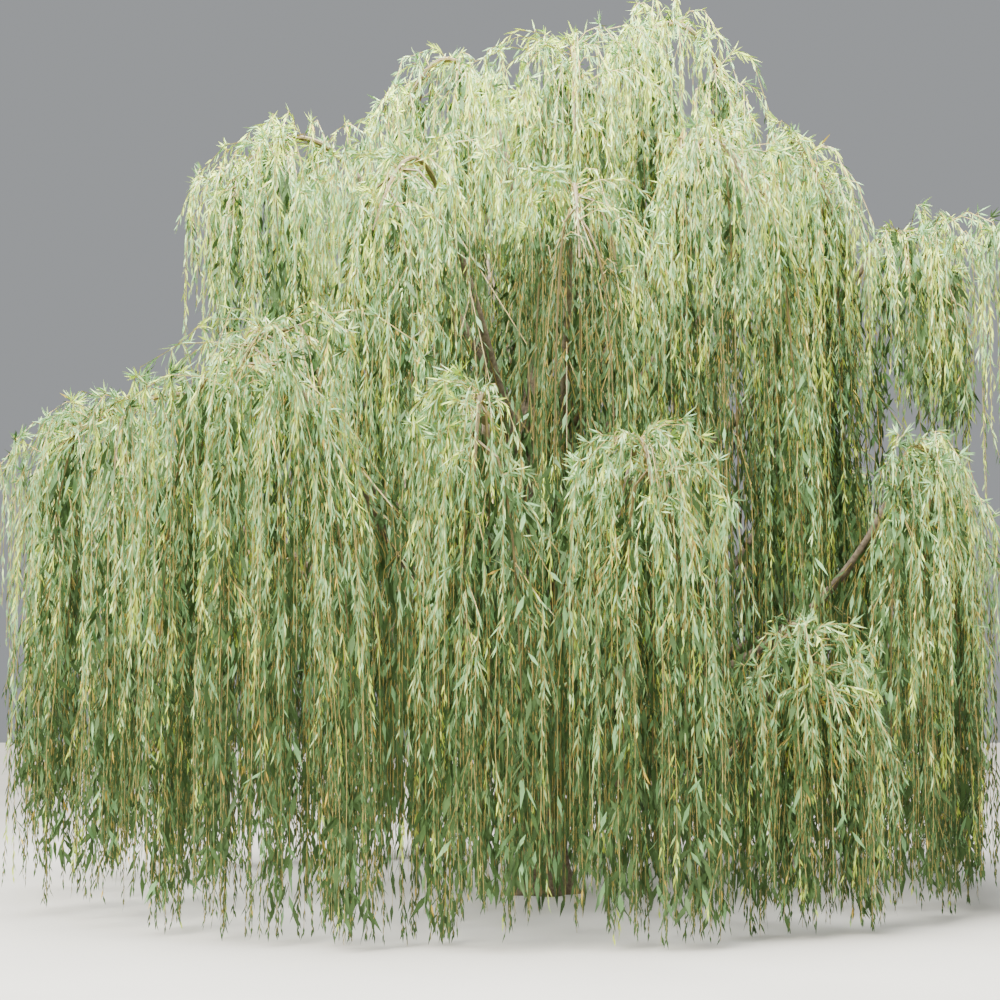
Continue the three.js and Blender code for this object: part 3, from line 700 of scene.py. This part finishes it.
# %% Leaves along shoots
TURN_SCATTER, ANGLE_SCATTER = 30, 11  # degrees
ANGLE_LIMITS = (6, 75)
TIP_ANGLE = 0.4  # how much closer to the shoot the leaves lie at its tip
DROOP_SCATTER = (0.3, 1.3)
LEAF_RISE = 0.15  # tips the direction to the side a little up
FIRST_LEAF = 0.03  # share of the shoot without leaves at its root


def leaves_along(lines, spacing):
    """Where leaves leave their shoots: owner, order, share of the shoot, root and heading."""
    count = np.maximum(2, (lengths_of(lines) * (1 - FIRST_LEAF) / spacing).astype(int))
    owner = np.repeat(np.arange(len(lines)), count)
    order = np.arange(len(owner)) - np.repeat(np.cumsum(count) - count, count)
    place = order + rng.uniform(0.1, 0.9, len(owner))
    share = FIRST_LEAF + (1 - FIRST_LEAF) * place / count[owner]
    root, way = place_on(lines, owner, share)
    turn = np.degrees(order * GOLDEN_ANGLE) + rng.normal(0, TURN_SCATTER, len(owner))
    aside = unit(np.cross(way, polar((0, 0), turn, 1.0, LEAF_RISE)))
    slant = np.clip(rng.normal(LEAF_ANGLE, ANGLE_SCATTER, len(owner)), *ANGLE_LIMITS)
    slant = np.radians(slant) * (1 - TIP_ANGLE * share)
    heading = way * np.cos(slant)[:, None] + aside * np.sin(slant)[:, None]
    heading[:, 2] -= LEAF_DROOP * rng.uniform(*DROOP_SCATTER, len(owner))
    return owner, order, share, root, unit(heading)

# %% Leaves in the core of a lock
CORE_SPAN = (0.1, 0.98)  # shares of the lock
CORE_RADIUS = 0.6  # share of the lock's radius
CORE_SLANT = 0.4


def core_leaves(path):
    """Broad leaves in the middle of a lock, most of them painted dark green as shade."""
    count = round(CORE_LEAVES_PER_METRE * path.length)
    share = rng.uniform(*CORE_SPAN, count)
    out = CORE_RADIUS * LOCK_RADIUS * np.sqrt(rng.random(count)) * lock_swell(share)
    root = path.at(share) + any_way(count) * out[:, None]
    slants = [rng.normal(0, CORE_SLANT, count), rng.normal(0, CORE_SLANT, count)]
    return root, unit(np.stack([*slants, -np.ones(count)], axis=1))

# %% [markdown]
# ## Meshes from arrays
# Blender can build a mesh straight from numpy arrays, which takes a second where a loop over faces
# would take minutes. Leaves are joined into a few large meshes, a group of neighbouring masses in
# each, and shoots into others.

# %% Build a mesh object
def put_in_scene(name, data, place=(0, 0, 0), tilt=(0, 0)):
    """An object at a place. Its tilt is turned about X and then Y, in degrees."""
    thing = bpy.data.objects.new(name, data)
    thing.location = place
    thing.rotation_euler = (math.radians(tilt[0]), math.radians(tilt[1]), 0)
    bpy.context.scene.collection.objects.link(thing)
    return thing


def mesh_object(name, vertices, faces, materials, finish=None, smooth=False):
    """An object with one mesh. finish says which of the materials each face has."""
    mesh = bpy.data.meshes.new(name)
    mesh.vertices.add(len(vertices))
    mesh.vertices.foreach_set("co", np.ascontiguousarray(vertices, dtype=np.float32).ravel())
    mesh.loops.add(faces.size)
    mesh.loops.foreach_set("vertex_index", faces.astype(np.int32).ravel())
    mesh.polygons.add(len(faces))
    mesh.polygons.foreach_set("loop_start", np.arange(0, faces.size, faces.shape[1], dtype=np.int32))
    for material in materials:
        mesh.materials.append(material)
    if finish is not None:
        mesh.polygons.foreach_set("material_index", finish.astype(np.int32))
    mesh.polygons.foreach_set("use_smooth", np.full(len(faces), smooth))
    mesh.update(calc_edges=True)
    mesh.validate()
    return put_in_scene(name, mesh)


def grid_faces(index):
    """Triangles between the rings of tubes. index is tubes x rings x corners."""
    low, high = index[:, :-1], index[:, 1:]
    quads = np.stack([low, np.roll(low, -1, axis=2), np.roll(high, -1, axis=2), high], axis=-1)
    quads = quads.reshape(-1, 4)
    return np.concatenate([quads[:, [0, 1, 2]], quads[:, [0, 2, 3]]])

# %% Thin tubes along lines
ASKEW = np.array([0.3, 0.9, 0.31])  # a direction that hardly any shoot runs in


def tubes(lines, radii, sides):
    """Vertices and faces of thin tubes along an array of lines, with a radius for each point."""
    way = unit(np.gradient(lines, axis=1))
    side = unit(np.cross(way, ASKEW))
    other = np.cross(way, side)
    angle = np.arange(sides) * 2 * math.pi / sides
    ring = side[:, :, None] * np.cos(angle)[:, None] + other[:, :, None] * np.sin(angle)[:, None]
    vertices = lines[:, :, None] + ring * np.asarray(radii)[None, :, None, None]
    index = np.arange(vertices.size // 3).reshape(vertices.shape[:3])
    return vertices.reshape(-1, 3), grid_faces(index)

# %% [markdown]
# ## Finishes
# Every colour is written as an sRGB hex value, as a colour picker shows it, and one function turns
# it into the linear values that Blender works with.

# %% Colour and node helpers
def linear(hex_colour):
    """An sRGB hex value as linear red, green and blue, with full alpha."""
    srgb = np.array([int(hex_colour[i:i + 2], 16) for i in (1, 3, 5)]) / 255
    return (*np.where(srgb <= 0.04045, srgb / 12.92, ((srgb + 0.055) / 1.055) ** 2.4), 1.0)


def add_node(tree, kind, inputs=None, **settings):
    """Add a node. An input is a value, or an output socket of another node to link to it."""
    node = tree.nodes.new(kind)
    for name, value in settings.items():
        setattr(node, name, value)
    for name, value in (inputs or {}).items():
        if isinstance(value, bpy.types.NodeSocket):
            tree.links.new(value, node.inputs[name])
        else:
            node.inputs[name].default_value = value
    return node


MIX_SHARE, MIX_FIRST, MIX_SECOND, MIX_RESULT = 0, 6, 7, 2  # a colour mix node's sockets, by number
NOISE_SPAN = {"From Min": 0.32, "From Max": 0.68}  # where nearly all the values of a noise lie


def natural_finish(name, light, dark, noises, roughness, relief=0.0, relief_depth=0.0, **shader_values):
    """A matt natural surface: two colours mixed by noises of (size in metres, share)."""
    material = bpy.data.materials.new(name)
    material.use_nodes = True
    tree = material.node_tree
    tree.nodes.clear()
    place = add_node(tree, "ShaderNodeTexCoord")
    total = None
    for size, share in noises:
        noise = add_node(tree, "ShaderNodeTexNoise",
                         {"Vector": place.outputs["Object"], "Scale": 1 / size, "Detail": 2.0})
        part = add_node(tree, "ShaderNodeMapRange",
                        {"Value": noise.outputs["Fac"], **NOISE_SPAN, "To Max": share})
        total = part if total is None else add_node(tree, "ShaderNodeMath", {
            0: total.outputs[0], 1: part.outputs[0]}, operation="ADD")
    mix = add_node(tree, "ShaderNodeMix", {MIX_SHARE: total.outputs[0], MIX_FIRST: linear(dark),
                                           MIX_SECOND: linear(light)}, data_type="RGBA")
    shader = add_node(tree, "ShaderNodeBsdfPrincipled", {
        "Base Color": mix.outputs[MIX_RESULT], "Roughness": roughness, **shader_values})
    if relief:
        bump = add_node(tree, "ShaderNodeBump", {"Height": noise.outputs["Fac"], "Strength": relief,
                                                 "Distance": relief_depth})
        tree.links.new(bump.outputs["Normal"], shader.inputs["Normal"])
    add_node(tree, "ShaderNodeOutputMaterial", {"Surface": shader.outputs["BSDF"]})
    return material

# %% [markdown]
# ## Leaf colours
# A willow leaf has a thin waxy skin above and silky hairs below, so it is nearly matt, and its two
# sides differ. Seen from a few metres, that gives a mix of grey-green and silver. There are five
# plain finishes, dealt out by where a leaf hangs: yellow-green for the young sprays at the tips, and
# as painted light high up, grey-green for the body, silver for leaves that show their backs, a dark
# green that is painted shade, low down, deep in the locks and inside the tree, and here and there a
# leaf that has turned yellow. In each, one noise varies the colour from leaf to leaf and a second
# one from lock to lock.

# %% Leaf finishes
LEAF_NOISES = [(0.1, 0.6), (0.9, 0.4)]  # sizes in metres, and how much each one counts
LEAF_FINISHES = {
    "leaf_grey_green": ("#8ab57a", "#6e9a61"),
    "leaf_silver_back": ("#c1dd90", "#a2c379"),
    # yellow-green of young growth at the tips, also used as painted light high up
    "leaf_young_tip": ("#d4e75f", "#b5cf4e"),
    # dark green: painted shade
    "leaf_shade_green": ("#4e6b38", "#394f29"),
    "leaf_turned_yellow": ("#dcc052", "#c9a53c"),
}
GREY_GREEN, SILVER_BACK, YOUNG_TIP_AND_TOP_LIGHT, PAINTED_SHADE_GREEN, TURNED_YELLOW = range(5)
WAXY_SKIN = {"IOR": 1.42, "Specular IOR Level": 0.35, "Sheen Weight": 0.05}
LEAF_MATERIALS = [natural_finish(name, light, dark, LEAF_NOISES, 0.6, **WAXY_SKIN)
                  for name, (light, dark) in LEAF_FINISHES.items()]
print("leaf finishes:", ", ".join(LEAF_FINISHES))

# %% Bark finishes
# Young willow shoots have a thin, waxy, golden bark. It dulls to olive-brown on stems as thick as a
# finger. Old bark is grey-brown cork, dry and dull, darker in its furrows.
SHOOT_BARK = natural_finish("shoot_golden_bark", "#bda657", "#988546", [(0.3, 1.0)], 0.45)
STEM_BARK = natural_finish("stem_olive_bark", "#7f6f42", "#5c5031", [(0.05, 0.7), (0.4, 0.3)], 0.6)
OLD_BARK = natural_finish("furrowed_cork_bark", "#8f8068", "#51463a", [(0.03, 0.7), (0.25, 0.3)], 0.92,
                          relief=0.7, relief_depth=0.006)
print("bark finishes:", ", ".join(each.name for each in (SHOOT_BARK, STEM_BARK, OLD_BARK)))

# %% Deal the finishes out, with painted light and painted shade
TREE_TOP = float(cad_bounds[1][2])
SPRAY_LEAVES = 9
LOW = 2.4  # below this height the leaves get more painted shade
LEAST_SHADE = {"crown": 0.04, "shoulder": 0.0, "skirt": 0.1}  # share of leaves in the painted-shade green even in full light
YOUNG_LEFT_IN_LOW_SHADE = 0.3  # how much of the young and painted top-light share is left at the ground, where painted shade takes over
# Shares of the young finish: anywhere, as painted light towards the top, and at the tips of shoots.
YOUNG_EVERYWHERE, PAINTED_TOP_LIGHT, YOUNG_AT_TIPS = 0.05, 0.44, 0.1
# Shares of the painted-shade finish: far below a crest, in the core of a lock and near the ground.
SHADE_LOW_DOWN, SHADE_IN_CORE, SHADE_NEAR_GROUND = 0.5, 0.5, 0.8
LEVEL_POWER, FALL_POWER, FALL_DIMS = 1.6, 1.5, 0.4
SILVER_SHARE, TURNED_ABOVE = 0.3, 0.99
SHADED_EDGE = 2  # the painted shade of the inside sets in over half a metre


def deal_finish(mass, root, depth, share, spray, leaf):
    """Which finish each leaf has, by its height, how far it hangs down, its depth, spray and self:
    painted light high up and painted shade low down, deep and inside.
    """
    height, out = root[:, 2], np.hypot(root[:, 0], root[:, 1])
    level = np.clip(height / TREE_TOP, 0, 1)
    # Painted shade inside the tree, behind the outer curtains, and in the windows.
    inside = (np.clip((SHADED_RADIUS - out) * SHADED_EDGE, 0, 1)
              * np.clip((SHADED_HEIGHT - height) * SHADED_EDGE, 0, 1))
    inside = np.maximum(inside, in_window(root) & (mass.tier != "skirt"))
    fall = np.clip((mass.crest - height) / LONG_FALL, 0, 1)
    draw, own = chance(spray, 1), chance(leaf, 2)
    near_ground = np.clip(1 - height / LOW, 0, 1)
    last_third = np.clip(share * 3 - 2, 0, 1)
    # Young growth at the tips, and painted light that grows towards the top.
    young_and_top_light = (YOUNG_EVERYWHERE + PAINTED_TOP_LIGHT * level ** LEVEL_POWER * (1 - FALL_DIMS * fall)
             + YOUNG_AT_TIPS * last_third)
    young_and_top_light *= (1 - inside) * (1 - (1 - YOUNG_LEFT_IN_LOW_SHADE) * near_ground)
    # Painted shade.
    shade = (LEAST_SHADE[mass.tier] + SHADE_LOW_DOWN * fall ** FALL_POWER
             + SHADE_IN_CORE * (1 - depth) + inside + SHADE_NEAR_GROUND * near_ground)
    silver = SILVER_SHARE * (1 - inside)
    finish = np.select([draw < young_and_top_light, draw < young_and_top_light + shade], [YOUNG_TIP_AND_TOP_LIGHT, PAINTED_SHADE_GREEN], GREY_GREEN)
    finish = np.where((own < silver) & (finish != PAINTED_SHADE_GREEN), SILVER_BACK, finish)
    return np.where(own > TURNED_ABOVE, TURNED_YELLOW, finish)

# %% [markdown]
# ## Put the leaves on
# A leaf that would reach out of the tree's box is left off, as the CAD source leaves off a blade
# that would leave its space.

# %% A pile of leaves or shoots
class Pile:
    """Meshes that are joined as they come: vertices, faces and the finish of each face."""

    def __init__(self):
        self.vertices, self.faces, self.finishes, self.total = [], [], [], 0

    def add(self, vertices, faces, finish):
        self.vertices.append(vertices)
        self.faces.append(faces + self.total)
        self.finishes.append(np.broadcast_to(finish, len(faces)))
        self.total += len(vertices)

    def add_leaves(self, root, heading, kind, length, width, finish):
        outline, pattern = OUTLINES[kind]
        points = leaf_points(root, heading, outline, length, width)
        fits = within_reach(points)
        points, finish = points[fits], np.broadcast_to(finish, len(root))[fits]
        start = np.arange(len(points))[:, None, None] * len(outline)
        faces = (pattern[None] + start).reshape(-1, 3)
        self.add(points.reshape(-1, 3), faces, np.repeat(finish, len(pattern)))

    def joined(self):
        return np.concatenate(self.vertices), np.concatenate(self.faces), np.concatenate(self.finishes)

# %% Leaves of one mass
LEAF_SIZES, LEAF_WIDTHS = (0.7, 1.2), (0.8, 1.2)  # of the usual length and width
TIP_SMALLER = 0.35  # how much smaller the leaves get at the tip of a shoot
OUTER_DEPTH = 0.7  # from here out a shoot counts as an outer one
# Sizes of the broad leaves, and the share of them in the painted-shade green.
SHADE_SIZES, SHADE_DARK = (0.75, 1.15), 0.85
TWIG_NUMBER = 0.37  # added to a mass's number, so that its twigs get finishes of their own
SHOOTS_APART, MASSES_APART = 17, 911  # steps that give each spray a number of its own, or nearly


def put_leaves(pile, mass, lines, depth, number):
    """Leaves along shoots or twigs, each with its size, outline and finish."""
    owner, order, share, root, heading = leaves_along(lines, LEAF_SPACING)
    spray = owner * SHOOTS_APART + order // SPRAY_LEAVES + number * MASSES_APART
    finish = deal_finish(mass, root, depth[owner], share, spray, np.arange(len(owner)) + number)
    last_sixth = np.clip(share * 6 - 5, 0, 1)
    size = rng.uniform(*LEAF_SIZES, len(owner)) * (1 - TIP_SMALLER * last_sixth)
    width = LEAF_WIDTH * rng.uniform(*LEAF_WIDTHS, len(owner))
    fine = (depth[owner] > OUTER_DEPTH) & (rng.random(len(owner)) < LANCE_SHARE)
    for kind, pick in (("lance", fine), ("kite", ~fine)):
        pile.add_leaves(root[pick], heading[pick], kind, LEAF_LENGTH * size[pick], width[pick],
                        finish[pick])


def put_shade_leaves(pile, root, heading):
    """Broad leaves, most of them painted dark green as shade."""
    size = rng.uniform(*SHADE_SIZES, len(root))
    finish = np.where(rng.random(len(root)) < SHADE_DARK, PAINTED_SHADE_GREEN, GREY_GREEN)
    pile.add_leaves(root, heading, "kite", SHADE_LENGTH * size, SHADE_WIDTH * size, finish)


def leaves_of(mass, number):
    """All the leaves of a mass, joined."""
    pile = Pile()
    put_leaves(pile, mass, mass.shoots, mass.depth, number)
    put_leaves(pile, mass, mass.twigs, mass.twig_depth, number + TWIG_NUMBER)
    for path in mass.lock_paths:
        root, heading = core_leaves(path)
        keep = ~(in_window(root) & (mass.tier == "shoulder"))
        put_shade_leaves(pile, root[keep], heading[keep])
    put_shade_leaves(pile, *leaves_along(mass.shaded, SHADE_SPACING)[3:])
    return pile.joined()

# %% Join neighbouring masses into pieces
MOST_TRIANGLES = 190_000  # in one piece


def add_pieces(kind, made, materials):
    """Join neighbouring masses into pieces that aren't too heavy. Each replaces their solids."""
    groups, size = [[]], 0
    for entry in made:
        if size + len(entry[2]) > MOST_TRIANGLES:
            groups.append([])
            size = 0
        groups[-1].append(entry)
        size += len(entry[2])
    for number, group in enumerate(groups, 1):
        pile = Pile()
        for _, *grown in group:
            pile.add(*grown)
        vertices, faces, finish = pile.joined()
        thing = mesh_object(f"{kind}_{number}", vertices, faces, materials, finish)
        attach(thing, "root")
        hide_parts(*["foliage_" + mass_name for mass_name, *_ in group])
        print(thing.name, len(faces), "triangles")


all_leaves = [(mass.name, *leaves_of(mass, number)) for number, mass in enumerate(MASSES)]
print("leaf triangles in all:", sum(len(faces) for _, _, faces, _ in all_leaves))
add_pieces("leaves", all_leaves, LEAF_MATERIALS)

# %% [markdown]
# ## Stems and shoots as thin tubes
# A shoot is 3 to 8 mm thick, less than a pixel from where the tree is seen, but its golden line
# still tints the foliage and ties the leaves together. Three sides are enough for it. The stems are
# as thick as a wrist where they leave the bough, and get eight.

# %% Stems and shoots
STEM_RINGS, STEM_SIDES = 25, 8
LEADER_RINGS, LEADER_SIDES = 12, 4
LEADER_REACH = 0.75  # share of a lock that its leading twig runs down
LEADER_RADII = (0.011, 0.003)  # at the root and at the tip
SHOOT_RADII, TWIG_RADII, INNER_RADII = (0.0042, 0.0018), (0.0025, 0.0014), (0.004, 0.002)
SHOOT_SIDES = 3


def shoots_of(mass):
    """Tubes for a mass's stem, the leading twig of each lock, and all of its shoots."""
    pile = Pile()
    share = np.linspace(0, 1, STEM_RINGS)
    base = BOUGH_TIP_RADIUS if mass.limb else LIMB_TIP_RADIUS
    pile.add(*tubes(mass.stem.at(share)[None], taper(base, STEM_TIP_RADIUS)(share), STEM_SIDES), 1)
    share = np.linspace(0, 1, LEADER_RINGS)
    leaders = np.array([path.at(share * LEADER_REACH) for path in mass.lock_paths])
    pile.add(*tubes(leaders, taper(*LEADER_RADII)(share), LEADER_SIDES), 1)
    for lines, radii in ((mass.shoots, SHOOT_RADII), (mass.twigs, TWIG_RADII),
                         (mass.shaded, INNER_RADII)):
        share = np.linspace(0, 1, lines.shape[1])
        pile.add(*tubes(lines, taper(*radii)(share), SHOOT_SIDES), 0)
    return pile.joined()


all_shoots = [(mass.name, *shoots_of(mass)) for mass in MASSES]
print("shoot triangles in all:", sum(len(faces) for _, _, faces, _ in all_shoots))
add_pieces("shoots", all_shoots, [SHOOT_BARK, STEM_BARK])

# %% [markdown]
# ## Bark with its own relief
# Old willow bark is grey-brown and deeply furrowed, in long ridges that part and meet again. A bump
# map alone looks painted on, so the trunk and boughs are rebuilt as finer tubes and every vertex is
# pushed in by furrows that wander as they run along the limb.

# %% Furrows
FURROW_WIDTH = 0.055  # metres round the trunk from one furrow to the next
FEWEST_FURROWS = 5


def furrows(angle, distance, girth, seed):
    """Depth of the furrows, from 0 to 1, at an angle round a limb and a distance along it."""
    count = max(FEWEST_FURROWS, round(girth / FURROW_WIDTH))
    # Two waves make the furrows wander along the limb, and a finer one makes them part and meet.
    wander = 0.9 * np.sin(distance * 5.1 + seed) + 0.5 * np.sin(distance * 13.7 + 2 * seed)
    wave = (np.sin(angle * count + wander)
            + 0.5 * np.sin(angle * (count * 2 + 1) - 1.6 * wander + distance * 17)) / 1.5
    return 1 - np.abs(wave) ** 0.7

# %% Limbs with furrowed bark
def bark_tube(name, path, radius_at, sides, rings, depth, seed):
    """A finer tube on the CAD limb's own curve and thickness, closed at both ends."""
    angles = np.arange(sides) * 2 * math.pi / sides
    share, angle = np.meshgrid(np.linspace(0, 1, rings), angles, indexing="ij")
    smooth = radius_at(share, angle)
    fade = np.clip((1 - share) * 6, 0, 1)  # the furrows die away over the last sixth
    girth = 2 * math.pi * smooth.mean()
    radius = smooth - depth * fade * furrows(angle, share * path.length, girth, seed)
    span = (path.rule(1.0) - path.rule(0.0)) * (1, 1, 0)
    along = path.along(share[:, 0])
    out = unit(np.cross(np.cross(unit(span), (0, 0, 1)), along))
    side = np.cross(along, out)
    centre = path.at(share[:, 0])
    points = (centre[:, None] + side[:, None] * (np.sin(angle) * radius)[..., None]
              + out[:, None] * (np.cos(angle) * radius)[..., None])
    if name == "trunk":
        points[0, :, 2] = 0
    index = np.arange(rings * sides).reshape(1, rings, sides)
    first, last = index[0, 0], index[0, -1]
    ends = rings * sides + np.array([[0], [1]]) * np.ones(sides, dtype=int)
    caps = np.concatenate([np.stack([np.roll(first, -1), first, ends[0]], axis=1),
                           np.stack([last, np.roll(last, -1), ends[1]], axis=1)])
    vertices = np.concatenate([points.reshape(-1, 3), centre[:1], centre[-1:]])
    faces = np.concatenate([grid_faces(index), caps])
    thing = mesh_object("bark_" + name, vertices, faces, [OLD_BARK], smooth=True)
    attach(thing, "root")
    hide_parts(name)
    return len(thing.data.polygons)


# Sides, rings and depth of the furrows in metres, for each kind of limb.
BARK_DETAIL = {"trunk": (96, 150, 0.014), "limb": (40, 90, 0.006), "bough": (14, 44, 0.002)}
SEED_STEP = 1.7  # so that no two limbs are furrowed alike
bark_triangles = 0
for number, (name, (path, radius_at)) in enumerate(WOOD.items()):
    kind = "trunk" if name == "trunk" else "bough" if name.startswith("bough") else "limb"
    bark_triangles += bark_tube(name, path, radius_at, *BARK_DETAIL[kind], number * SEED_STEP)
print("bark triangles in all:", bark_triangles)

# %% [markdown]
# ## Floor, light and camera
# The tree stands on a plain pale floor in soft light from above, as on a bright hazy day. The
# camera is about where the photographer stood: 17 m in front of the trunk, at eye height, looking
# a little up.

# %% Floor
FLOOR_REACH = 60  # metres from the middle to each side
corners = FLOOR_REACH * np.array([[-1, -1, 0], [1, -1, 0], [1, 1, 0], [-1, 1, 0]])
floor_finish = natural_finish("floor_pale_matt", "#d2d0c9", "#cbc9c2", [(2.0, 1.0)], 0.9)
floor = mesh_object("floor", corners, np.array([[0, 1, 2, 3]]), [floor_finish])
floor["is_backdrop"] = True
print("floor", 2 * FLOOR_REACH, "m across")

# %% Light
def add_light(name, kind, strength, tilt, place=(0, 0, 0), **settings):
    """Add a lamp. With no tilt it shines straight down."""
    lamp = bpy.data.lights.new(name, kind)
    lamp.energy = strength
    for key, value in settings.items():
        setattr(lamp, key, value)
    put_in_scene(name, lamp, place, tilt)


world = bpy.data.worlds.new("studio")
world.use_nodes = True
background = world.node_tree.nodes["Background"]
background.inputs["Color"].default_value = linear("#eef2f6")
background.inputs["Strength"].default_value = 0.4
bpy.context.scene.world = world
add_light("soft_sun", "SUN", 7.5, (30, -28), angle=math.radians(35), color=linear("#fffaf0")[:3])
add_light("overhead_panel", "AREA", 6400, (0, 0), (-1, -2.2, 10.8), shape="SQUARE", size=10)

# %% Camera
CAMERA_PLACE = (-0.35, -17.4, 1.65)  # at eye height
CAMERA_TILT = 95.7  # degrees from straight down, so 5.7 above level
camera_data = bpy.data.cameras.new("photo_view")
camera_data.sensor_width, camera_data.lens = 36, 72  # mm
bpy.context.scene.camera = put_in_scene("photo_view", camera_data, CAMERA_PLACE, (CAMERA_TILT, 0))
print("camera at", CAMERA_PLACE, "with a lens of", camera_data.lens, "mm")

# %% Keep the two boxes and finish
visual_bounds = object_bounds()
boxes = {"cad": cad_bounds, "visual": visual_bounds}
boxes = {name: [[float(v) for v in corner] for corner in box] for name, box in boxes.items()}
print("visual box", [[round(v, 3) for v in corner] for corner in boxes["visual"]])
